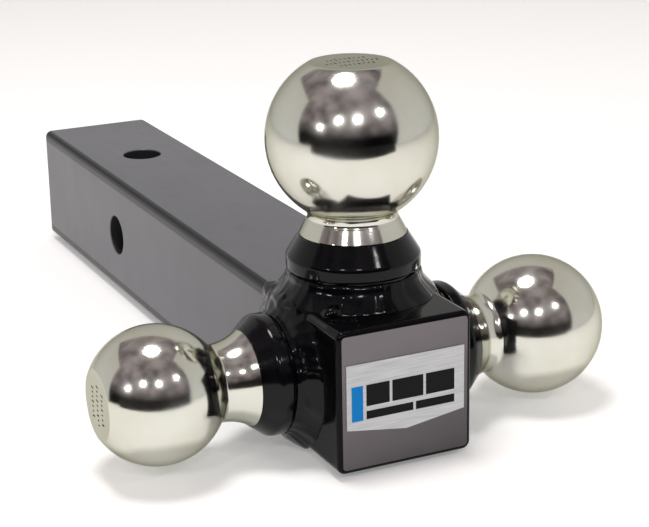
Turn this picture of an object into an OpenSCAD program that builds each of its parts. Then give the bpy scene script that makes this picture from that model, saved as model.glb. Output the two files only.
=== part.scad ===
// Trailer hitch ball mount with three welded balls.
// A hollow square shank carries three balls of different sizes on one plane near
// its closed front end: one on top, one on the left and one on the right.
// Origin: centre of the cross pin hole, on the shank's centreline.
// +Z is up, +X is right, and the balls are towards -Y.

/* [Shank] */
// Outside width and height of the square shank
shank_w = 50; // [49.5:0.1:50.4]
// Wall thickness of the shank
shank_wall = 6; // [5:0.5:6.5]
// Radius of the shank's long outside corners
shank_corner = 2.9; // [2:0.1:4]
// Distance from the cross pin hole back to the open end
tail_len = 96; // [80:1:110]
// Distance from the cross pin hole forward to the plane of the balls
pin_to_balls = 178; // [160:1:220]
// Distance from the plane of the balls forward to the closed front face
nose_len = 38; // [38:1:60]

/* [Pin holes] */
// Diameter of both pin holes, for a 5/8 inch hitch pin
pin_hole_d = 16.6; // [16.3:0.1:17.5]
// Distance from the cross pin hole back to the upright pin hole
upright_offset = 33; // [25:1:45]

/* [Front cap] */
// Thickness of the plate that closes the front end
cap_t = 6; // [6:0.5:8]
// Radius of the plate's front edges
cap_edge = 2; // [1:0.25:2.5]
// Depth of the bevel on each side of the groove weld
groove = 3.5; // [2:0.5:3.5]

/* [Balls] */
// Diameter of the top ball, 2 5/16 inch
top_ball_d = 58.74; // [58:0.01:59]
// Diameter of the left ball, 1 7/8 inch
left_ball_d = 47.62; // [47:0.01:48]
// Diameter of the right ball, 2 inch
right_ball_d = 50.8; // [50:0.01:51]
// Height of the flat above the top ball's centre, as a share of its radius
top_flat_share = 0.88; // [0.8:0.01:0.92]
// The same for the left and right balls
side_flat_share = 0.86; // [0.8:0.01:0.92]
// Diameter of the spigot under each ball
spigot_d = 25; // [20:0.5:25]
// Clearance of the spigot in its bore, on the radius
spigot_gap = 0.05; // [0.02:0.01:0.1]

/* [Label] */
// Width of the label on the front face
label_w = 44; // [30:1:45]
// Thickness of the label
label_t = 0.3; // [0.2:0.05:0.5]

/* [Hidden] */

half_w = shank_w / 2;
balls_y = -pin_to_balls;
nose_y = balls_y - nose_len;
cap_back_y = nose_y + cap_t;
round_fn = 96;
big = 400;

// One ball's measures, as heights above the shank's face and radii about its own axis:
// [ball radius, centre height, neck radius, neck height, skirt radius, skirt height,
//  ring radius, ring top height, ring foot height, weld toe radius, flat share]
top_unit = [top_ball_d / 2, 54, 15.6, 27.8, 18.7, 20.9,
            23.3, 13.6, 9.4, 28.2, top_flat_share];
left_unit = [left_ball_d / 2, 48.8, 13.5, 27, 16.6, 17.3,
             21.2, 11.4, 7.3, 27.6, side_flat_share];
right_unit = [right_ball_d / 2, 47.5, 14, 23.2, 17, 16.8,
              21.6, 11.4, 7.3, 27.6, side_flat_share];

function ball_r(u) = u[0];
function centre_h(u) = u[1];
function neck_r(u) = u[2];
function neck_h(u) = u[3];
function skirt_r(u) = u[4];
function skirt_h(u) = u[5];
function ring_r(u) = u[6];
function ring_top(u) = u[7];
function ring_foot(u) = u[8];
function toe_r(u) = u[9];
function flat_h(u) = u[1] + u[10] * u[0];

neck_fillet = 2;
collar_inset = 1.2;
ring_break = 0.6;
weld_crown = 0.6;

// Points of an arc about a centre, from one angle to another
function arc(centre, r, from, to, steps) =
    [for (i = [0:steps])
        let (a = from + (to - from) * i / steps)
        [centre[0] + r * cos(a), centre[1] + r * sin(a)]];

// Square outline of the shank with rounded corners
module shank_outline(half, corner) {
    span = 2 * (half - corner);
    union() {
        square([2 * half, span], center = true);
        square([span, 2 * half], center = true);
        for (x = [-1, 1], y = [-1, 1])
            translate([x * span / 2, y * span / 2]) circle(r = corner, $fn = round_fn);
    }
}

// Solid bar of the shank's outside shape, between two places along Y
module bar(from_y, to_y, half = half_w, corner = shank_corner) {
    translate([0, to_y, 0]) rotate([90, 0, 0])
        linear_extrude(height = to_y - from_y) shank_outline(half, corner);
}

// Places a unit that is drawn with its axis on +Z and the shank's face at z = 0
module on_face(side) {
    turn = side == "left" ? -90 : side == "right" ? 90 : 0;
    translate([0, balls_y, 0]) rotate([0, turn, 0]) translate([0, 0, half_w]) children();
}

// Prism along Z whose outline is bevelled by `cut` at the end that faces `way`
module bevelled_slab(from_y, to_y, cut, way) {
    reach = half_w + 1;
    foot = half_w - cut;
    edge_y = way > 0 ? to_y : from_y;
    base_y = way > 0 ? from_y : to_y;
    translate([0, 0, -reach]) linear_extrude(height = 2 * reach)
        polygon([[-reach, base_y], [-reach, edge_y - way * (cut + 1)], [-foot, edge_y],
                 [foot, edge_y], [reach, edge_y - way * (cut + 1)], [reach, base_y]]);
}

// Bar whose end that faces `way` is bevelled all round for the groove weld
module bevelled_bar(from_y, to_y, way) {
    intersection() {
        bar(from_y, to_y);
        bevelled_slab(from_y, to_y, groove, way);
        rotate([0, 90, 0]) bevelled_slab(from_y, to_y, groove, way);
    }
}

module shank_tube() {
    color("dimgray") difference() {
        bevelled_bar(cap_back_y, tail_len, -1);
        bar(cap_back_y - 1, tail_len + 1, half_w - shank_wall, 1);
        rotate([0, 90, 0]) cylinder(d = pin_hole_d, h = shank_w + 2, center = true, $fn = round_fn);
        translate([0, upright_offset, 0])
            cylinder(d = pin_hole_d, h = shank_w + 2, center = true, $fn = round_fn);
        for (side = ["top", "left", "right"])
            on_face(side) translate([0, 0, -shank_wall - 1])
                cylinder(r = spigot_d / 2 + spigot_gap, h = shank_wall + 2, $fn = round_fn);
    }
}

// Slab along Z with its two front corners rounded
module rounded_front_slab() {
    r = cap_edge;
    translate([0, 0, -half_w - 1]) linear_extrude(height = shank_w + 2) union() {
        translate([-half_w, nose_y + r]) square([shank_w, cap_t - r]);
        translate([-half_w + r, nose_y]) square([shank_w - 2 * r, cap_t]);
        for (x = [-1, 1]) translate([x * (half_w - r), nose_y + r]) circle(r = r, $fn = round_fn);
    }
}

module front_cap() {
    color("dimgray") intersection() {
        bevelled_bar(nose_y, cap_back_y, 1);
        rounded_front_slab();
        rotate([0, 90, 0]) rounded_front_slab();
    }
}

// Weld metal that fills the groove between cap and tube, ground flush
module cap_weld() {
    color("dimgray") difference() {
        bar(cap_back_y - groove, cap_back_y + groove);
        bevelled_bar(nose_y, cap_back_y, 1);
        bevelled_bar(cap_back_y, cap_back_y + 2 * groove, -1);
        bar(cap_back_y - groove - 1, cap_back_y + groove + 1, half_w - shank_wall, 1);
    }
}

// Outline of the label: a flat top, and a bottom edge that runs down to a shallow point
module label_plate() {
    top = 13.5;
    side_foot = -9.2;
    point_foot = -12.4;
    color("silver") translate([0, nose_y, 0]) rotate([90, 0, 0]) linear_extrude(height = label_t)
        polygon([[-label_w / 2, top], [label_w / 2, top], [label_w / 2, side_foot],
                 [0, point_foot], [-label_w / 2, side_foot]]);
}

// Neck and skirt of a ball: a flare below the neck and a small fillet where it meets the ball
module neck_solid(u) {
    flare_h = neck_h(u) - skirt_h(u);
    flare_w = skirt_r(u) - neck_r(u);
    flare_r = (flare_h * flare_h + flare_w * flare_w) / (2 * flare_w);
    flare_end = asin(flare_h / flare_r);
    fillet_x = neck_r(u) + neck_fillet;
    fillet_reach = ball_r(u) + neck_fillet;
    fillet_h = centre_h(u) - sqrt(fillet_reach * fillet_reach - fillet_x * fillet_x);
    fillet_turn = acos(fillet_x / fillet_reach);
    inner_r = neck_r(u) - 2;
    rotate_extrude($fn = round_fn) polygon(concat(
        [[0, skirt_h(u)]],
        arc([neck_r(u) + flare_r, neck_h(u)], flare_r, 180 + flare_end, 180, 8),
        arc([fillet_x, fillet_h], neck_fillet, 180, 180 - fillet_turn + 8, 5),
        [[inner_r, centre_h(u) - ball_r(u) / 2], [0, centre_h(u) - ball_r(u) / 2]]));
}

module ball(u) {
    chamfer = 1;
    spigot_r = spigot_d / 2;
    foot_h = -shank_wall - 1.5;
    color("gainsboro") union() {
        difference() {
            translate([0, 0, centre_h(u)]) sphere(r = ball_r(u), $fn = 2 * round_fn);
            translate([-big / 2, -big / 2, flat_h(u)]) cube(big);
        }
        neck_solid(u);
        rotate_extrude($fn = round_fn)
            polygon([[0, foot_h], [spigot_r - chamfer, foot_h], [spigot_r, foot_h + chamfer],
                     [spigot_r, skirt_h(u) + 0.5], [0, skirt_h(u) + 0.5]]);
    }
}

// Weld-on collar: a plain foot, a ring with a broken upper edge, and a cone up to the skirt
module collar(u) {
    bore_r = spigot_d / 2 + spigot_gap;
    foot_r = ring_r(u) - collar_inset;
    color("black") rotate_extrude($fn = round_fn)
        polygon([[bore_r, 0], [foot_r, 0], [foot_r, ring_foot(u)], [ring_r(u), ring_foot(u) + ring_break],
                 [ring_r(u), ring_top(u) - ring_break], [ring_r(u) - ring_break, ring_top(u) + ring_break / 2],
                 [skirt_r(u) + 0.2, skirt_h(u)], [bore_r, skirt_h(u)]]);
}

// Half-space wedge that keeps a weld on its own side of the shank's 45 degree planes
module side_wedge() {
    translate([0, big / 2, -half_w]) rotate([90, 0, 0]) linear_extrude(height = big)
        polygon([[0, 0], [big, big], [-big, big]]);
}

// Fillet weld round a collar's foot. It runs over the shank's corners, where it meets the next weld.
module fillet_weld(u) {
    foot_r = ring_r(u) - collar_inset;
    below = shank_corner;
    slope = (toe_r(u) - ring_r(u)) / ring_foot(u);
    mid_r = (ring_r(u) + toe_r(u)) / 2 + weld_crown;
    color("black") difference() {
        intersection() {
            rotate_extrude($fn = round_fn)
                polygon([[foot_r, -below], [toe_r(u) + slope * below, -below], [toe_r(u), 0],
                         [mid_r, ring_foot(u) / 2], [ring_r(u) - 0.3, ring_foot(u)],
                         [foot_r, ring_foot(u)]]);
            side_wedge();
        }
        translate([0, 0, -half_w]) bar(-big / 2, big / 2);
    }
}

shank_tube();
front_cap();
cap_weld();
label_plate();
on_face("top") ball(top_unit);  // ball_top
on_face("left") ball(left_unit);  // ball_left
on_face("right") ball(right_unit);  // ball_right
on_face("top") collar(top_unit);  // collar_top
on_face("left") collar(left_unit);  // collar_left
on_face("right") collar(right_unit);  // collar_right
on_face("top") fillet_weld(top_unit);  // weld_top
on_face("left") fillet_weld(left_unit);  // weld_left
on_face("right") fillet_weld(right_unit);  // weld_right
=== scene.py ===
"""Trailer hitch ball mount: a square shank that carries three plated tow balls of different sizes."""
import math
import random

import bmesh
import bpy
from mathutils import Matrix, Vector, noise


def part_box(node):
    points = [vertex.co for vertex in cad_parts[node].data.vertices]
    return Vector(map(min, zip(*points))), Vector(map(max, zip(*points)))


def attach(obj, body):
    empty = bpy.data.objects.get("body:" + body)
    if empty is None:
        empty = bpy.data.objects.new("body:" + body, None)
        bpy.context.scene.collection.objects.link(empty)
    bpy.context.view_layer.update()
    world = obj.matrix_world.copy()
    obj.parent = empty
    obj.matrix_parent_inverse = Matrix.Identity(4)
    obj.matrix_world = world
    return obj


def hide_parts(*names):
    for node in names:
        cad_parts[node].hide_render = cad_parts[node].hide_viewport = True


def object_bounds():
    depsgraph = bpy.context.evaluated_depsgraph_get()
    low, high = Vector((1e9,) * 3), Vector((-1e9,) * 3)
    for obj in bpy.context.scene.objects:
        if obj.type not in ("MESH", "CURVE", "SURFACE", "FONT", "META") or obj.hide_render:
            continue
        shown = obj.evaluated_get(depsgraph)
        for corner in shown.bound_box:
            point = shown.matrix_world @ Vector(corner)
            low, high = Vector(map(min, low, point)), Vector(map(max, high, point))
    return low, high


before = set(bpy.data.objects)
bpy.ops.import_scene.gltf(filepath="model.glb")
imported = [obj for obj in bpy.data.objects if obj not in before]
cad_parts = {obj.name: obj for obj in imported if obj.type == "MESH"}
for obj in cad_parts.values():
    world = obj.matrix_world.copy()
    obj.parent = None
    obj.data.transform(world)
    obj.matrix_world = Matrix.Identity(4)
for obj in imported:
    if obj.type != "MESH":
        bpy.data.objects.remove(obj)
cad_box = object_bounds()


# ---------------------------------------------------------------- shank
# The shank is a length of square steel tube, open at the rear and drilled for the hitch pin
# twice, once across and once upright. It is cut, drilled and powder coated in satin black.
MM = 0.001
INCH = 25.4 * MM

tube_low, tube_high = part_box("shank_tube")
tube_width = tube_high.x - tube_low.x
half_width = tube_width / 2
tube_wall = 6 * MM
tube_corner = 2.9 * MM
inner_corner = 1 * MM
pin_hole_radius = 8.3 * MM
upright_hole_y = 33 * MM
balls_y = sum(corner.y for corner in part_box("ball_top")) / 2
spigot_radius = 12.5 * MM
TURN_TO_FACE = {"top": 0, "left": -90, "right": 90}


def deselect():
    bpy.ops.object.select_all(action="DESELECT")


def edit(piece, mode="EDGE"):
    """Opens one piece in edit mode, with nothing selected."""
    deselect()
    bpy.context.view_layer.objects.active = piece
    piece.select_set(True)
    bpy.ops.object.mode_set(mode="EDIT")
    bpy.ops.mesh.select_mode(type=mode)
    bpy.ops.mesh.select_all(action="DESELECT")


def pick(kind, test):
    """Selects the verts, edges or faces of the open mesh that pass a test."""
    mesh = bmesh.from_edit_mesh(bpy.context.object.data)
    for element in getattr(mesh, kind):
        element.select_set(bool(test(element)))
    mesh.select_flush_mode()
    bmesh.update_edit_mesh(bpy.context.object.data)


def close_edit():
    bpy.ops.object.mode_set(mode="OBJECT")


def settle(piece):
    """Moves a piece's place, turn and scale into its mesh."""
    deselect()
    bpy.context.view_layer.objects.active = piece
    piece.select_set(True)
    bpy.ops.object.transform_apply(location=True, rotation=True, scale=True)
    return piece


def modify(piece, kind, **settings):
    """Adds one modifier with its settings and applies it."""
    deselect()
    bpy.context.view_layer.objects.active = piece
    piece.select_set(True)
    modifier = piece.modifiers.new(kind.title(), kind)
    for name, value in settings.items():
        setattr(modifier, name, value)
    bpy.ops.object.modifier_apply(modifier=modifier.name)


def smooth(piece, degrees=35):
    """Smooth shading between faces, with flats kept flat by weighted normals."""
    deselect()
    bpy.context.view_layer.objects.active = piece
    piece.select_set(True)
    bpy.ops.object.shade_smooth_by_angle(angle=math.radians(degrees))
    modify(piece, "WEIGHTED_NORMAL", keep_sharp=True)


def runs_along(edge, axis):
    """True if an edge lies along an axis: 0 is X, 1 is Y and 2 is Z."""
    way = edge.verts[1].co - edge.verts[0].co
    return abs(way[axis]) > 0.99 * way.length


def block(name, low, high):
    """A box between two corners, with its place in its mesh."""
    deselect()
    centre = (Vector(low) + Vector(high)) / 2
    bpy.ops.mesh.primitive_cube_add(size=1, location=centre)
    piece = bpy.context.object
    piece.name = name
    piece.scale = Vector(high) - Vector(low)
    return settle(piece)


def square_ring(name, from_y, to_y, wall, inner):
    """A length of square tube: a box without its ends, given a wall and rounded long edges."""
    piece = block(name, (-half_width, from_y, -half_width), (half_width, to_y, half_width))
    edit(piece, "FACE")
    pick("faces", lambda face: abs(face.normal.y) > 0.9)
    bpy.ops.mesh.delete(type="ONLY_FACE")
    close_edit()
    modify(piece, "SOLIDIFY", thickness=wall, offset=-1, use_even_offset=True)
    for reach, radius, segments in ((half_width, tube_corner, 8), (half_width - wall, inner, 4)):
        if radius > 0:
            edit(piece)
            pick("edges", lambda edge: runs_along(edge, 1)
                 and all(abs(abs(edge.verts[0].co[i]) - reach) < 0.01 * MM for i in (0, 2)))
            bpy.ops.mesh.bevel(offset=radius, segments=segments)
            close_edit()
    return piece


def drill(piece, radius, centre, turn, depth):
    """Drills a round hole: the drill's axis is Z, turned about X, Y and Z in degrees."""
    deselect()
    rotation = [math.radians(angle) for angle in turn]
    bpy.ops.mesh.primitive_cylinder_add(vertices=96, radius=radius, depth=depth,
                                        location=centre, rotation=rotation)
    cutter = settle(bpy.context.object)
    modify(piece, "BOOLEAN", operation="DIFFERENCE", solver="EXACT", object=cutter)
    bpy.data.objects.remove(cutter)


weld_band = 3.5 * MM
cap_back_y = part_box("front_cap")[1].y
shank = square_ring("shank_tube_finished", cap_back_y + weld_band, tube_high.y, tube_wall, inner_corner)
drill(shank, pin_hole_radius, (0, 0, 0), (0, 90, 0), 2 * tube_width)
drill(shank, pin_hole_radius, (0, upright_hole_y, 0), (0, 0, 0), 2 * tube_width)
for side, turn in TURN_TO_FACE.items():
    way = Matrix.Rotation(math.radians(turn), 3, "Y") @ Vector((0, 0, half_width - tube_wall / 2))
    drill(shank, spigot_radius, way + Vector((0, balls_y, 0)), (0, turn, 0), 2 * tube_wall)
# The sharp edges of the holes and of the rear mouth are broken a little.
broken_edge = 0.45 * MM
edit(shank)
pick("edges", lambda edge: edge.calc_face_angle(0) > math.radians(50)
     and edge.verts[0].co.y > cap_back_y + 2 * weld_band)
bpy.ops.mesh.bevel(offset=broken_edge, segments=3)
close_edit()
smooth(shank)


def linear(hex_colour):
    """An sRGB hex colour as linear RGBA."""
    parts = [int(hex_colour[i:i + 2], 16) / 255 for i in (0, 2, 4)]
    return [c / 12.92 if c <= 0.04045 else ((c + 0.055) / 1.055) ** 2.4 for c in parts] + [1]


def node(tree, kind, inputs=None, **settings):
    """Adds one shader node. Inputs are values or the sockets that feed them."""
    new = tree.nodes.new(kind)
    for name, value in settings.items():
        setattr(new, name, value)
    for name, value in (inputs or {}).items():
        if isinstance(value, bpy.types.NodeSocket):
            tree.links.new(value, new.inputs[name])
        else:
            new.inputs[name].default_value = value
    return new


def material(name, **shader):
    """A new material, its node tree, its shader and the object's own coordinates."""
    made = bpy.data.materials.new(name)
    made.use_nodes = True
    tree = made.node_tree
    surface = tree.nodes["Principled BSDF"]
    for socket, value in shader.items():
        surface.inputs[socket.replace("_", " ")].default_value = value
    place = tree.nodes.new("ShaderNodeTexCoord").outputs["Object"]
    return made, tree, surface, place


def per_metre(size):
    """A noise texture's scale for a pattern whose features are about this size."""
    return 1 / size


# Powder coat on flat tube: polyester powder melted to a film, which leaves a fine orange peel.
# Black, with a broad cool sheen over the drawn steel that is painted into its colour as a dark grey.
# A dark band of painted shade runs along the upper and lower edges of both sides. The painted
# sheen fades out on the head, where the coat shows its own near black and is smoother.
# The band starts and is full at these depths below the upper and lower faces and the sides.
edge_band_low = 5 * MM
edge_band_full = 4.3 * MM
side_start = 2.7 * MM
side_full = 2.2 * MM
head_start_y = balls_y + 12 * MM
head_full_y = balls_y - 8 * MM

satin_coat, tree, surface, place = material("satin_black_powder_coat", IOR=1.58, Metallic=0.0)
peel = node(tree, "ShaderNodeTexNoise", {"Vector": place, "Scale": per_metre(1.6 * MM), "Detail": 2})
# The draw marks are about 4 mm across, 11 mm along the tube and 17 mm upright.
stretched = node(tree, "ShaderNodeMapping", {"Vector": place, "Scale": (260, 90, 60)})
drawing = node(tree, "ShaderNodeTexNoise", {"Vector": stretched.outputs[0], "Scale": 1.0, "Detail": 3})
cloud = node(tree, "ShaderNodeTexNoise", {"Vector": place, "Scale": per_metre(45 * MM), "Detail": 3})
# Painted sheen: the tube's dark grey colour stands in for light reflected off a black coat.
painted_sheen_tone = node(tree, "ShaderNodeValToRGB", {"Fac": cloud.outputs["Fac"]})
painted_sheen_tone.color_ramp.elements[0].position = 0.3
painted_sheen_tone.color_ramp.elements[0].color = linear("424148")
painted_sheen_tone.color_ramp.elements[1].position = 0.7
painted_sheen_tone.color_ramp.elements[1].color = linear("4B4A52")
parts = node(tree, "ShaderNodeSeparateXYZ", {"Vector": place})
sideways = node(tree, "ShaderNodeMath", {0: parts.outputs["X"]}, operation="ABSOLUTE")
upright = node(tree, "ShaderNodeMath", {0: parts.outputs["Z"]}, operation="ABSOLUTE")
beside = node(tree, "ShaderNodeMapRange", {"Value": sideways.outputs[0], "To Max": 0.9,
                                           "From Min": half_width - side_start,
                                           "From Max": half_width - side_full})
# Painted shade: a dark band along the upper and lower edges of the sides, where the shine is lowered too.
painted_edge_shade_band = node(tree, "ShaderNodeMapRange", {"Value": upright.outputs[0],
                                              "From Min": half_width - edge_band_low,
                                              "From Max": half_width - edge_band_full,
                                              "To Max": beside.outputs["Result"]})
# The colour of the painted edge shade.
painted_edge_shade_colour = linear("121115")
tinted = node(tree, "ShaderNodeMix", {"Factor": painted_edge_shade_band.outputs["Result"],
                                      "A": painted_sheen_tone.outputs["Color"], "B": painted_edge_shade_colour}, data_type="RGBA")
# Towards the head the painted sheen and the painted edge shade give way to the coat's own near black.
towards_head = node(tree, "ShaderNodeMapRange", {"Value": parts.outputs["Y"],
                                                 "From Min": head_start_y, "From Max": head_full_y})
head_black = linear("09090B")
coated = node(tree, "ShaderNodeMix", {"Factor": towards_head.outputs["Result"],
                                      "A": tinted.outputs[2], "B": head_black}, data_type="RGBA")
tree.links.new(coated.outputs[2], surface.inputs["Base Color"])
satin = node(tree, "ShaderNodeMapRange", {"Value": drawing.outputs["Fac"], "To Min": 0.29, "To Max": 0.37})
gloss = node(tree, "ShaderNodeMix", {"Factor": towards_head.outputs["Result"],
                                     "A": satin.outputs["Result"], "B": 0.1})
tree.links.new(gloss.outputs[0], surface.inputs["Roughness"])
edge_sheen = node(tree, "ShaderNodeMapRange", {"Value": painted_edge_shade_band.outputs["Result"],
                                               "To Min": 0.5, "To Max": 0.18})
sheen = node(tree, "ShaderNodeMapRange", {"Value": towards_head.outputs["Result"], "To Max": 0.08,
                                          "To Min": edge_sheen.outputs["Result"]})
tree.links.new(sheen.outputs["Result"], surface.inputs["Specular IOR Level"])
height = node(tree, "ShaderNodeMath", {0: drawing.outputs["Fac"], 1: 0.5, 2: peel.outputs["Fac"]},
              operation="MULTIPLY_ADD")
relief = node(tree, "ShaderNodeBump", {"Height": height.outputs[0], "Strength": 0.12,
                                       "Distance": 0.02 * MM})
tree.links.new(relief.outputs["Normal"], surface.inputs["Normal"])

# Mill scale inside the tube: the oxide skin of hot-rolled steel, which the coat hardly reaches.
# It is blue-black and dull, with a slight mottle.
mill_scale, tree, surface, place = material("mill_scale_steel", IOR=1.5)
mottle = node(tree, "ShaderNodeTexNoise", {"Vector": place, "Scale": per_metre(6 * MM), "Detail": 4})
oxide = node(tree, "ShaderNodeValToRGB", {"Fac": mottle.outputs["Fac"]})
oxide.color_ramp.elements[0].color = linear("0B0B0D")
oxide.color_ramp.elements[1].color = linear("1E1C1D")
tree.links.new(oxide.outputs["Color"], surface.inputs["Base Color"])
dull = node(tree, "ShaderNodeMapRange", {"Value": mottle.outputs["Fac"], "To Min": 0.55, "To Max": 0.8})
tree.links.new(dull.outputs["Result"], surface.inputs["Roughness"])

shank.data.materials.append(satin_coat)
shank.data.materials.append(mill_scale)
for face in shank.data.polygons:
    inside = max(abs(face.center.x), abs(face.center.z)) < half_width - 0.6 * MM
    face.material_index = 1 if inside and face.center.y < tube_high.y - 0.6 * MM else 0
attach(shank, "root")
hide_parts("shank_tube")


# ---------------------------------------------------------------- front cap
# A square plate closes the front end of the tube. Its front edges are rounded by the grinder,
# and its back edges are bevelled for the groove weld. It has the same coat as the tube.
nose_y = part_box("front_cap")[0].y
cap_edge = 1.6 * MM

cap = block("front_cap_finished", (-half_width, nose_y, -half_width),
            (half_width, cap_back_y, half_width))
edit(cap)
pick("edges", lambda edge: runs_along(edge, 1))
bpy.ops.mesh.bevel(offset=tube_corner, segments=8)
pick("edges", lambda edge: all(abs(vert.co.y - nose_y) < 0.01 * MM for vert in edge.verts))
bpy.ops.mesh.bevel(offset=cap_edge, segments=6)
pick("edges", lambda edge: all(abs(vert.co.y - cap_back_y) < 0.01 * MM for vert in edge.verts))
bpy.ops.mesh.bevel(offset=weld_band, segments=1)
close_edit()
smooth(cap)
cap.data.materials.append(satin_coat)

# Powder coat on the ground plate: the same film on ground steel. Its brown-grey satin colour is a
# painted reflection that deepens towards the lower right, with a faint mottle.
plate_shading = 26 * MM

plate_coat_painted_reflection, tree, surface, place = material("ground_plate_coat_painted_reflection", IOR=1.5)
parts = node(tree, "ShaderNodeSeparateXYZ", {"Vector": place})
cloud = node(tree, "ShaderNodeTexNoise", {"Vector": place, "Scale": per_metre(12 * MM), "Detail": 0})
grain = node(tree, "ShaderNodeTexNoise", {"Vector": place, "Scale": per_metre(1.2 * MM), "Detail": 2})
# Painted reflection: the plate's colour darkens towards the lower right, with a faint mottle.
painted_reflection_slant = node(tree, "ShaderNodeMath", {0: parts.outputs["X"], 1: -0.35, 2: parts.outputs["Z"]},
             operation="MULTIPLY_ADD")
drop = node(tree, "ShaderNodeMath", {0: cloud.outputs["Fac"], 1: 0.01, 2: painted_reflection_slant.outputs[0]},
            operation="MULTIPLY_ADD")
level = node(tree, "ShaderNodeMapRange", {"Value": drop.outputs[0], "From Min": -plate_shading,
                                          "From Max": plate_shading})
tone = node(tree, "ShaderNodeValToRGB", {"Fac": level.outputs["Result"]})
tone.color_ramp.elements[0].color = linear("3E383B")
tone.color_ramp.elements[1].color = linear("726B70")
tree.links.new(tone.outputs["Color"], surface.inputs["Base Color"])
satin = node(tree, "ShaderNodeMapRange", {"Value": cloud.outputs["Fac"], "To Min": 0.29, "To Max": 0.38})
tree.links.new(satin.outputs["Result"], surface.inputs["Roughness"])
relief = node(tree, "ShaderNodeBump", {"Height": grain.outputs["Fac"], "Strength": 0.1,
                                       "Distance": 0.02 * MM})
tree.links.new(relief.outputs["Normal"], surface.inputs["Normal"])
cap.data.materials.append(plate_coat_painted_reflection)
for face in cap.data.polygons:
    face.material_index = 1 if face.normal.y < -0.999 else 0
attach(cap, "root")
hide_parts("front_cap")


# ---------------------------------------------------------------- cap weld
# Weld metal fills the groove between cap and tube. It is ground flush, so only a very slight
# unevenness is left under the coat. In section it is a wedge with its root at the joint.
cap_weld = square_ring("cap_weld_finished", cap_back_y - weld_band, cap_back_y + weld_band, weld_band, 0)
edit(cap_weld, "VERT")
pick("verts", lambda vert: max(abs(vert.co.x), abs(vert.co.z)) < half_width - 0.9 * weld_band)
bpy.ops.transform.resize(value=(1, 0.02, 1), center_override=(0, cap_back_y, 0))
close_edit()
smooth(cap_weld)
cap_weld.data.materials.append(satin_coat)
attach(cap_weld, "root")
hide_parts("cap_weld")


# ---------------------------------------------------------------- tow balls
# Each ball is one steel forging, turned on a lathe with its neck, flared skirt and spigot,
# then polished and plated with nickel and chrome. Its flat end is stamped with small marks.
class Ball:
    """Sizes of one ball: heights are above the tube's face, and pairs are (radius, height)."""

    def __init__(self, side, diameter, centre, flat, neck, fillet, crease, skirt, marks):
        self.side = side
        self.radius = diameter / 2
        self.centre = centre * MM
        self.flat = self.centre + flat * self.radius
        self.neck = neck * MM
        self.fillet = fillet * MM
        self.crease = Vector(crease) * MM
        self.skirt = Vector(skirt) * MM
        self.marks = marks


BALLS = [
    Ball("top", 2.3125 * INCH, 54, 0.88, 15.5, 3.4, (16.1, 25.8), (18.6, 21), (9, 12, 8)),
    Ball("left", 1.875 * INCH, 48.8, 0.86, 13.4, 2.6, (16.5, 17.3), (16.6, 17.2), (7, 9, 7)),
    Ball("right", 2 * INCH, 47.5, 0.86, 14, 2.6, (17, 16.8), (17.1, 16.7), (7, 10, 7)),
]
spigot_foot = -tube_wall - 1.5 * MM


def arc(centre, radius, start, end, step=3):
    """Points of an arc from start to end, in degrees, about a step apart."""
    count = max(2, round(abs(end - start) / step))
    angles = [math.radians(start + (end - start) * i / count) for i in range(count + 1)]
    return [(centre[0] + radius * math.cos(a), centre[1] + radius * math.sin(a)) for a in angles]


def lathe(name, profile, steps=144):
    """Draws a profile of (radius, height) by extruding a vertex along it, then spins it round Z."""
    deselect()
    bpy.ops.mesh.primitive_plane_add(size=MM)
    piece = bpy.context.object
    piece.name = name
    bpy.ops.object.mode_set(mode="EDIT")
    bpy.ops.mesh.select_mode(type="VERT")
    bpy.ops.mesh.select_all(action="SELECT")
    bpy.ops.mesh.merge(type="CENTER")
    last = Vector((0, 0))
    for index, point in enumerate(profile):
        step = Vector(point) - last
        if index == 0:
            bpy.ops.transform.translate(value=(step.x, 0, step.y))
        else:
            bpy.ops.mesh.extrude_vertices_move(TRANSFORM_OT_translate={"value": (step.x, 0, step.y)})
        last = Vector(point)
    bpy.ops.mesh.select_all(action="SELECT")
    bpy.ops.mesh.spin(steps=steps, angle=math.tau, center=(0, 0, 0), axis=(0, 0, 1))
    bpy.ops.mesh.select_all(action="SELECT")
    bpy.ops.mesh.remove_doubles(threshold=0.002 * MM)
    bpy.ops.mesh.normals_make_consistent(inside=False)
    bpy.ops.object.mode_set(mode="OBJECT")
    return piece


def ball_profile(ball):
    """From the middle of the flat, over the ball, neck and skirt, down to the end of the spigot."""
    flat_edge = math.degrees(math.asin((ball.flat - ball.centre) / ball.radius))
    reach = ball.radius + ball.fillet
    fillet_x = ball.neck + ball.fillet
    fillet_h = ball.centre - math.sqrt(reach ** 2 - fillet_x ** 2)
    tangent = -math.degrees(math.acos(fillet_x / reach))
    flare = Vector((ball.crease.x - ball.neck, fillet_h - ball.crease.y))
    flare_radius = flare.length_squared / (2 * flare.x)
    flare_turn = math.degrees(math.asin(min(1, flare.y / flare_radius)))
    return ([(0, ball.flat)]
            + arc((0, ball.centre), ball.radius, flat_edge, tangent)
            + arc((fillet_x, fillet_h), ball.fillet, 180 + tangent, 180, 6)[1:]
            + arc((ball.neck + flare_radius, fillet_h), flare_radius, 180, 180 + flare_turn, 4)[1:]
            + [(ball.skirt.x, ball.skirt.y), (spigot_radius, ball.skirt.y),
               (spigot_radius, spigot_foot + MM), (spigot_radius - MM, spigot_foot), (0, spigot_foot)])


def stand_on_face(piece, side):
    """Stands a piece drawn on +Z, with the tube's face at height 0, on one face of the tube."""
    piece.matrix_world = (Matrix.Translation((0, balls_y, 0))
                          @ Matrix.Rotation(math.radians(TURN_TO_FACE[side]), 4, "Y")
                          @ Matrix.Translation((0, 0, half_width)))
    return settle(piece)


def join(pieces, name):
    """Joins pieces into the first of them."""
    deselect()
    for piece in pieces:
        piece.select_set(True)
    bpy.context.view_layer.objects.active = pieces[0]
    bpy.ops.object.join()
    pieces[0].name = name
    return pieces[0]


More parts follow.
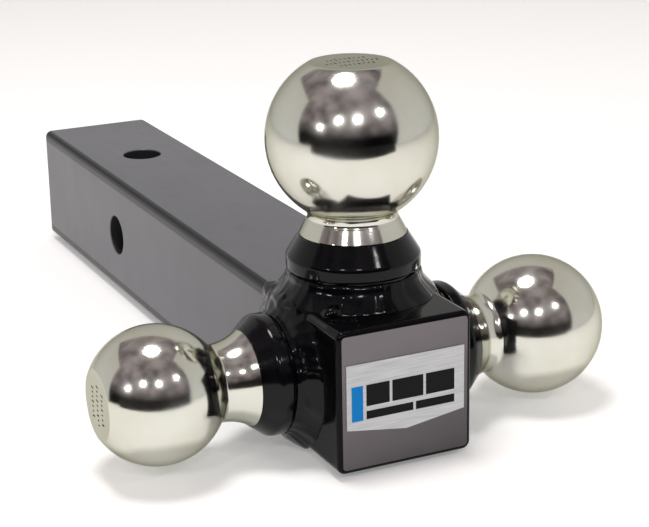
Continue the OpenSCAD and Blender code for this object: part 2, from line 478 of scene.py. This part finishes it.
def stamp_flat(piece, ball):
    """Stamps rows of short plain bars into the flat, each row bent round a far centre."""
    depth = 0.35 * MM
    half_bar = 0.3 * MM
    pitch = 1.7 * MM
    row_gap = 4.6 * MM
    bend = 1.6 * ball.radius
    dies = []
    for row, count in enumerate(ball.marks):
        row_radius = bend + (1 - row) * row_gap
        for index in range(count):
            angle = (index - (count - 1) / 2) * pitch / row_radius
            length = (1.3 if index % 3 else 2.2) * MM
            die = block("die", (-half_bar, row_radius - length / 2, ball.flat - depth),
                        (half_bar, row_radius + length / 2, ball.flat + depth))
            die.matrix_world = Matrix.Translation((0, -bend, 0)) @ Matrix.Rotation(angle, 4, "Z")
            dies.append(settle(die))
    punch = join(dies, "punch")
    modify(piece, "BOOLEAN", operation="DIFFERENCE", solver="EXACT", object=punch)
    bpy.data.objects.remove(punch)


# Nickel-chrome plate: forged steel, polished and plated. The nickel under the thin chrome gives a
# warm mirror. The forging's skin makes it waver a little, with a fine scuff and a few pits.
plating, tree, surface, place = material("polished_nickel_chrome_plate", Metallic=1.0,
                                          Specular_Tint=linear("BCBBB0"))
haze = node(tree, "ShaderNodeTexNoise", {"Vector": place, "Scale": per_metre(14 * MM), "Detail": 4})
tone = node(tree, "ShaderNodeValToRGB", {"Fac": haze.outputs["Fac"]})
tone.color_ramp.elements[0].position = 0.35
tone.color_ramp.elements[0].color = linear("D2D1C5")
tone.color_ramp.elements[1].position = 0.65
tone.color_ramp.elements[1].color = linear("D9D9D0")
tree.links.new(tone.outputs["Color"], surface.inputs["Base Color"])
polish = node(tree, "ShaderNodeMapRange", {"Value": haze.outputs["Fac"], "From Min": 0.3,
                                           "From Max": 0.7, "To Min": 0.08, "To Max": 0.18})
tree.links.new(polish.outputs["Result"], surface.inputs["Roughness"])
waver = node(tree, "ShaderNodeTexNoise", {"Vector": place, "Scale": per_metre(7 * MM), "Detail": 1})
pits = node(tree, "ShaderNodeTexVoronoi", {"Vector": place, "Scale": per_metre(2.4 * MM),
                                           "Randomness": 1.0})
pit = node(tree, "ShaderNodeMapRange", {"Value": pits.outputs["Distance"], "From Min": 0.0,
                                        "From Max": 0.07, "To Min": -0.12, "To Max": 0.0})
scuff = node(tree, "ShaderNodeTexNoise", {"Vector": place, "Scale": per_metre(1.5 * MM), "Detail": 3})
rough = node(tree, "ShaderNodeMath", {0: scuff.outputs["Fac"], 1: 0.22, 2: pit.outputs["Result"]},
             operation="MULTIPLY_ADD")
skin = node(tree, "ShaderNodeMath", {0: waver.outputs["Fac"], 1: rough.outputs[0]}, operation="ADD")
relief = node(tree, "ShaderNodeBump", {"Height": skin.outputs[0], "Strength": 0.35,
                                       "Distance": 0.06 * MM})
tree.links.new(relief.outputs["Normal"], surface.inputs["Normal"])

for ball in BALLS:
    forging = lathe(f"ball_{ball.side}_finished", ball_profile(ball))
    modify(forging, "BEVEL", width=0.6 * MM, segments=3, limit_method="ANGLE",
           angle_limit=math.radians(22))
    stamp_flat(forging, ball)
    stand_on_face(forging, ball.side)
    smooth(forging, 25)
    forging.data.materials.append(plating)
    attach(forging, "root")
    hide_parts(f"ball_{ball.side}")


# ---------------------------------------------------------------- collars
# A thick steel ring under each ball, turned with a cone up to the ball's skirt. The spigot passes
# through it. It is welded on and coated with the rest of the head, in a thicker, glossier coat.
COLLARS = {"top": (23.3, 13.9, 9.2), "left": (21.2, 11.6, 7.1), "right": (21.6, 11.6, 7.1)}
collar_inset = 1.2 * MM
coat_lap = 0.25 * MM
ring_rounding = 3.2 * MM
foot_rounding = 1 * MM


def collar_profile(ball):
    """A closed outline: bore, foot, undercut, rounded ring and cone, back to the bore."""
    ring, ring_top, ring_foot = (value * MM for value in COLLARS[ball.side])
    bore = spigot_radius + 0.05 * MM
    foot = ring - collar_inset
    lean = math.atan2(ring - ball.skirt.x - coat_lap, ball.skirt.y - ring_top)
    rounding_height = ring_top - ring_rounding * math.tan(lean / 2)
    return ([(bore, 0), (foot, 0), (foot, ring_foot), (ring - foot_rounding, ring_foot)]
            + arc((ring - foot_rounding, ring_foot + foot_rounding), foot_rounding, -75, 0, 15)
            + arc((ring - ring_rounding, rounding_height), ring_rounding, 0, math.degrees(lean), 6)
            + [(ball.skirt.x + coat_lap, ball.skirt.y - 0.1 * MM), (bore, ball.skirt.y), (bore, 0)])


# Powder coat on the head: the same black powder, laid thicker over forged and weld metal, where it
# flows and sets as a deep gloss with soft waves. It is nearly black and mirrors what is round it.
gloss_coat, tree, surface, place = material("gloss_black_powder_coat", IOR=1.35, Specular_IOR_Level=0.38)
flow = node(tree, "ShaderNodeTexNoise", {"Vector": place, "Scale": per_metre(4 * MM), "Detail": 2})
depth_tone = node(tree, "ShaderNodeValToRGB", {"Fac": flow.outputs["Fac"]})
depth_tone.color_ramp.elements[0].position = 0.3
depth_tone.color_ramp.elements[0].color = linear("050508")
depth_tone.color_ramp.elements[1].position = 0.7
depth_tone.color_ramp.elements[1].color = linear("0A0A0D")
tree.links.new(depth_tone.outputs["Color"], surface.inputs["Base Color"])
dulling = node(tree, "ShaderNodeMapRange", {"Value": flow.outputs["Fac"], "To Min": 0.06,
                                            "To Max": 0.16})
tree.links.new(dulling.outputs["Result"], surface.inputs["Roughness"])
grain = node(tree, "ShaderNodeTexNoise", {"Vector": place, "Scale": per_metre(1.1 * MM), "Detail": 1})
skin = node(tree, "ShaderNodeMath", {0: grain.outputs["Fac"], 1: 0.12, 2: flow.outputs["Fac"]},
            operation="MULTIPLY_ADD")
relief = node(tree, "ShaderNodeBump", {"Height": skin.outputs[0], "Strength": 0.5,
                                       "Distance": 0.08 * MM})
tree.links.new(relief.outputs["Normal"], surface.inputs["Normal"])

for ball in BALLS:
    collar = lathe(f"collar_{ball.side}_finished", collar_profile(ball))
    modify(collar, "BEVEL", width=0.3 * MM, segments=2, limit_method="ANGLE",
           angle_limit=math.radians(25))
    stand_on_face(collar, ball.side)
    smooth(collar, 30)
    collar.data.materials.append(gloss_coat)
    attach(collar, "root")
    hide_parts(f"collar_{ball.side}")


# ---------------------------------------------------------------- fillet welds
# A fillet weld runs round each collar's foot and over the tube's corners, where the three runs
# melt into each other. Short beads fill the top corners behind them. It is all one weld metal.
TOES = {"top": 28.2, "left": 27.6, "right": 27.6}
run_over = 2.4 * MM
shoulder = 2 * MM
beads_a_side = 10
bead_step = 2.1
widest_bead = 8
bead_reach = 29.4
ripple_height = 0.05 * MM
swell_height = 0.8 * MM
swell_length = 9 * MM
kept_below = 0.3


def weld_profile(side):
    """A closed outline: a hollow fillet from the collar out to the toe, rolled over below it."""
    ring, _, ring_foot = (value * MM for value in COLLARS[side])
    toe = TOES[side] * MM
    root = ring - collar_inset - 0.6 * MM
    top = ring_foot - 0.2 * MM
    steps = 14
    hollow = 1.5 if side == "top" else 0.9
    fillet = [(ring + 0.2 * MM + (toe - ring) * (1 - i / steps) ** hollow, (top - shoulder) * i / steps)
              for i in range(steps + 1)]
    return ([(root, top), (root, -run_over), (toe - 2 * MM, -run_over)]
            + arc((toe - 1.6 * MM, -0.8 * MM), 1.6 * MM, -60, 10, 14) + fillet
            + arc((ring + 0.2 * MM - shoulder, top - shoulder), shoulder, 10, 90, 16) + [(root, top)])


def bead(centre, radius, tilt, squash):
    """One bead of weld metal, a flattened ball leaning along the run."""
    deselect()
    bpy.ops.mesh.primitive_uv_sphere_add(segments=24, ring_count=16, radius=radius, location=centre,
                                         rotation=(math.radians(tilt), 0, 0))
    bpy.context.object.scale = (1, squash, 1)
    return settle(bpy.context.object)


# The beads' steps, radii and reaches are in millimetres. They taper towards the back.
random.seed(4)
runs = []
for ball in BALLS:
    run = lathe(f"run_{ball.side}", weld_profile(ball.side), steps=120)
    stand_on_face(run, ball.side)
    runs.append(run)
for across in (-1, 1):
    for index in range(beads_a_side):
        along = balls_y + (-1 + index * bead_step) * MM
        radius = widest_bead - 0.045 * index ** 2 - random.uniform(0, 0.3)
        reach = bead_reach - radius - 0.32 * index
        corner_place = (across * reach * MM, along, reach * MM)
        runs.append(bead(corner_place, radius * MM, tilt=-28, squash=0.8))
for centre, radius in (((-14, -20, 25.2), 3.2), ((-18.5, -20.5, 24.8), 3.4), ((-9, -23.5, 24.6), 2.8)):
    lump_place = Vector(centre) * MM + Vector((0, balls_y, 0))
    runs.append(bead(lump_place, radius * MM, tilt=20, squash=0.8))
welds = join(runs, "fillet_welds_finished")
modify(welds, "REMESH", mode="VOXEL", voxel_size=0.55 * MM)
modify(welds, "SMOOTH", factor=0.6, iterations=6)


def weld_swell(point):
    """Height of the weld's ripples and swells at a point on its surface."""
    spot = point - Vector((0, balls_y, 0))
    if abs(spot.x) > spot.z:
        angle = math.atan2(spot.z, spot.y)
    else:
        angle = math.atan2(spot.x, spot.y)
    ripple = math.sin(angle * 34 + 4 * noise.noise(spot / (8 * MM)))
    return ripple_height * ripple + swell_height * noise.noise(spot / swell_length)


# Weld metal hardly hangs below the tube, so only a share of that depth is kept.
for vert, normal in [(vert, vert.normal.copy()) for vert in welds.data.vertices]:
    vert.co += normal * weld_swell(vert.co)
    below = -half_width - vert.co.z
    if below > 0:
        vert.co.z = -half_width - kept_below * below
smooth(welds, 60)
welds.data.materials.append(gloss_coat)
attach(welds, "root")
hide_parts("weld_top", "weld_left", "weld_right")


# ---------------------------------------------------------------- label
# A thin foil label on the front face, with a flat top and a shallow point at the bottom. It has a
# brushed metal face and a plain print: a blue block beside black bars of two heights.
label_low, label_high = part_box("label_plate")
label_front = label_low.y
point_height = 3.2 * MM

label = block("label_finished", (label_low.x, label_front, label_low.z + point_height),
              (label_high.x, nose_y, label_high.z))
edit(label)
bpy.ops.mesh.select_all(action="SELECT")
bpy.ops.mesh.bisect(plane_co=(0, 0, 0), plane_no=(1, 0, 0))
pick("verts", lambda vert: abs(vert.co.x) < 0.01 * MM and vert.co.z < 0)
bpy.ops.transform.translate(value=(0, 0, -point_height))
close_edit()
modify(label, "BEVEL", width=0.08 * MM, segments=2, limit_method="ANGLE", angle_limit=math.radians(50))
smooth(label)

# Brushed foil: aluminium-faced film, brushed along its length, with a clear satin topcoat.
# The brushing is too fine to show at its real size, so it is drawn about 0.2 mm apart.
foil, tree, surface, place = material("brushed_aluminium_foil", Metallic=0.85)
brushed = node(tree, "ShaderNodeMapping", {"Vector": place, "Scale": (90, 1, 5000)})
lines = node(tree, "ShaderNodeTexNoise", {"Vector": brushed.outputs[0], "Scale": 1.0, "Detail": 3})
tint = node(tree, "ShaderNodeValToRGB", {"Fac": lines.outputs["Fac"]})
tint.color_ramp.elements[0].position = 0.25
tint.color_ramp.elements[0].color = linear("A8A9AC")
tint.color_ramp.elements[1].position = 0.75
tint.color_ramp.elements[1].color = linear("D0D1D3")
tree.links.new(tint.outputs["Color"], surface.inputs["Base Color"])
sheen = node(tree, "ShaderNodeMapRange", {"Value": lines.outputs["Fac"], "To Min": 0.32, "To Max": 0.5})
tree.links.new(sheen.outputs["Result"], surface.inputs["Roughness"])
relief = node(tree, "ShaderNodeBump", {"Height": lines.outputs["Fac"], "Strength": 0.3,
                                       "Distance": 0.01 * MM})
tree.links.new(relief.outputs["Normal"], surface.inputs["Normal"])
label.data.materials.append(foil)
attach(label, "root")
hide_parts("label_plate")


def ink(name, light, dark):
    """Screen ink on foil: a flat opaque film with a faint mottle and a soft satin."""
    made, tree, surface, place = material(name, IOR=1.38, Specular_IOR_Level=0.25)
    mottle = node(tree, "ShaderNodeTexNoise", {"Vector": place, "Scale": per_metre(0.8 * MM)})
    mixed = node(tree, "ShaderNodeValToRGB", {"Fac": mottle.outputs["Fac"]})
    mixed.color_ramp.elements[0].color = linear(dark)
    mixed.color_ramp.elements[1].color = linear(light)
    tree.links.new(mixed.outputs["Color"], surface.inputs["Base Color"])
    satin = node(tree, "ShaderNodeMapRange", {"Value": mottle.outputs["Fac"], "To Min": 0.5,
                                              "To Max": 0.65})
    tree.links.new(satin.outputs["Result"], surface.inputs["Roughness"])
    return made


def printed(name, low, high, paint):
    """One printed shape on the label: a thin raised film with softened edges."""
    film = 0.06 * MM
    corners = [Vector((x * MM, label_front - y, z * MM)) for (x, z), y in ((low, film), (high, 0))]
    shape = block(name, corners[0], corners[1])
    modify(shape, "BEVEL", width=0.25 * MM, segments=3, limit_method="ANGLE",
           angle_limit=math.radians(50))
    smooth(shape)
    shape.data.materials.append(paint)
    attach(shape, "root")


blue_ink = ink("blue_screen_ink", "0080CC", "0078C0")
black_ink = ink("black_screen_ink", "0E0E10", "08080A")
printed("label_block", (-20.2, -6.5), (-16, 5.8), blue_ink)
for index, (start, end) in enumerate(((-14.8, -6.2), (-5.2, 6.4), (7.4, 18.2))):
    printed(f"label_bar_tall_{index}", (start, -1.7), (end, 5.8), black_ink)
for index, (start, end) in enumerate(((-14.8, 2.6), (3.6, 18.2))):
    printed(f"label_bar_low_{index}", (start, -6.3), (end, -3.4), black_ink)


# ---------------------------------------------------------------- floor, light and camera
# A white table runs up to a pale tent on the sides and behind. The front of the tent is open to a
# dim room with a grey ceiling and a few lamps, which the plated balls reflect.
deselect()
floor_z = cad_box[0][2] - 0.5 * MM
bpy.ops.mesh.primitive_plane_add(size=9, location=(0, 0, floor_z))
floor = bpy.context.object
floor.name = "floor"
# White table paper: matt, with a faint glow of its own that keeps it pale in the shade.
paper, tree, surface, place = material("white_table_paper", Roughness=0.9, Emission_Strength=0.24,
                                       Emission_Color=(1, 1, 1, 1))
surface.inputs["Base Color"].default_value = linear("F4F3F0")
floor.data.materials.append(paper)

world = bpy.data.worlds.new("light_tent")
bpy.context.scene.world = world
world.use_nodes = True
sky = world.node_tree
way = node(sky, "ShaderNodeTexCoord").outputs["Generated"]
turned = node(sky, "ShaderNodeMapping", {"Vector": way, "Rotation": (0, 0, math.radians(32))},
              vector_type="POINT")
parts = node(sky, "ShaderNodeSeparateXYZ", {"Vector": turned.outputs[0]})


def ramp(value, start, end):
    """A soft step from 0 to 1 between two values."""
    return node(sky, "ShaderNodeMapRange", {"Value": value, "From Min": start, "From Max": end},
                interpolation_type="SMOOTHSTEP").outputs["Result"]


def combined(first, second, operation="ADD"):
    """Two values added, or put together by another operation."""
    return node(sky, "ShaderNodeMath", {0: first, 1: second}, operation=operation).outputs[0]


# The tent's opening: the whole front, and a strip overhead that is widest at the top.
lean = combined(combined(parts.outputs["Z"], -0.4, "MULTIPLY"), parts.outputs["Y"])
front = ramp(lean, -0.38, -0.42)
across = combined(combined(combined(parts.outputs["X"], 0.22), 0, "ABSOLUTE"), -1.4, "MULTIPLY")
overhead = combined(ramp(combined(parts.outputs["Z"], across), -0.08, -0.02),
                  ramp(parts.outputs["Y"], 0.66, 0.6), "MULTIPLY")
opening = combined(front, overhead, "MAXIMUM")
room = node(sky, "ShaderNodeValToRGB", {"Fac": parts.outputs["Z"]})
room.color_ramp.elements[0].position = 0.18
room.color_ramp.elements[0].color = linear("060608")
room.color_ramp.elements[1].position = 0.42
room.color_ramp.elements[1].color = linear("9C9296")
tent = node(sky, "ShaderNodeValToRGB", {"Fac": parts.outputs["Z"]})
tent.color_ramp.elements[0].position = 0.0
tent.color_ramp.elements[0].color = linear("DEDDDC")
tent.color_ramp.elements[1].position = 0.8
tent.color_ramp.elements[1].color = linear("CFCCC6")
clutter = node(sky, "ShaderNodeTexNoise", {"Vector": turned.outputs[0], "Scale": 3.5, "Detail": 3})
lit = node(sky, "ShaderNodeMapRange", {"Value": clutter.outputs["Fac"], "From Min": 0.35,
                                       "From Max": 0.65, "To Min": 0.45, "To Max": 1.25})
room_seen = node(sky, "ShaderNodeMix", {"Factor": 1.0, "A": room.outputs["Color"],
                                        "B": lit.outputs["Result"]},
                 data_type="RGBA", blend_type="MULTIPLY")
around = node(sky, "ShaderNodeMix", {"Factor": opening, "A": tent.outputs["Color"],
                                     "B": room_seen.outputs[2]}, data_type="RGBA")
sky.links.new(around.outputs[2], sky.nodes["Background"].inputs["Color"])

# A low dark card stands in for the dim room below the table's front edge. Only reflections see it.
to_lens = Vector((-0.41, -0.91, 0))
card_centre = Vector((0, balls_y, floor_z + 0.055)) + to_lens * 0.4
bpy.ops.mesh.primitive_plane_add(size=1, location=card_centre,
                                 rotation=to_lens.to_track_quat("Z", "Y").to_euler())
card = bpy.context.object
card.name = "dark_card"
card.scale = (1.15, 0.11, 1)
velvet, tree, surface, place = material("black_velvet", Roughness=1.0, Base_Color=linear("040405"))
card.data.materials.append(velvet)
card.visible_camera = False
card.visible_diffuse = False
card.visible_shadow = False


def lamp(name, place, aim, size, power):
    """A soft round lamp that points at a place."""
    light = bpy.data.lights.new(name, "AREA")
    light.shape = "DISK"
    light.size = size
    light.energy = power
    holder = bpy.data.objects.new(name, light)
    bpy.context.scene.collection.objects.link(holder)
    holder.location = place
    holder.rotation_euler = (Vector(aim) - Vector(place)).to_track_quat("-Z", "Y").to_euler()


middle = Vector((0, balls_y, 0))
lamp("top_softbox", (-0.1, balls_y + 0.14, 1.25), middle, size=0.4, power=8.5)
lamp("left_lamp", (-0.98, -1.12, 1.02), middle, size=0.19, power=2.5)
lamp("right_lamp", (-0.36, -1.42, 1.02), middle, size=0.19, power=2.5)
lamp("far_left_lamp", (-1.5, -0.7, 0.75), middle, size=0.12, power=1.5)
lamp("far_right_lamp", (0.5, -1.4, 1.15), middle, size=0.16, power=2)

camera = bpy.data.objects.new("camera", bpy.data.cameras.new("camera"))
bpy.context.scene.collection.objects.link(camera)
camera.location = (-0.26206, -0.70898, 0.22766)
camera.rotation_euler = [math.radians(angle) for angle in (72.305, 0.955, -25.778)]
camera.data.sensor_width = 36
camera.data.lens = 100.6
camera.data.shift_x = -0.0073
camera.data.shift_y = -0.0186
camera.data.clip_start = 0.01
bpy.context.scene.camera = camera
bpy.context.scene.view_settings.view_transform = "Standard"
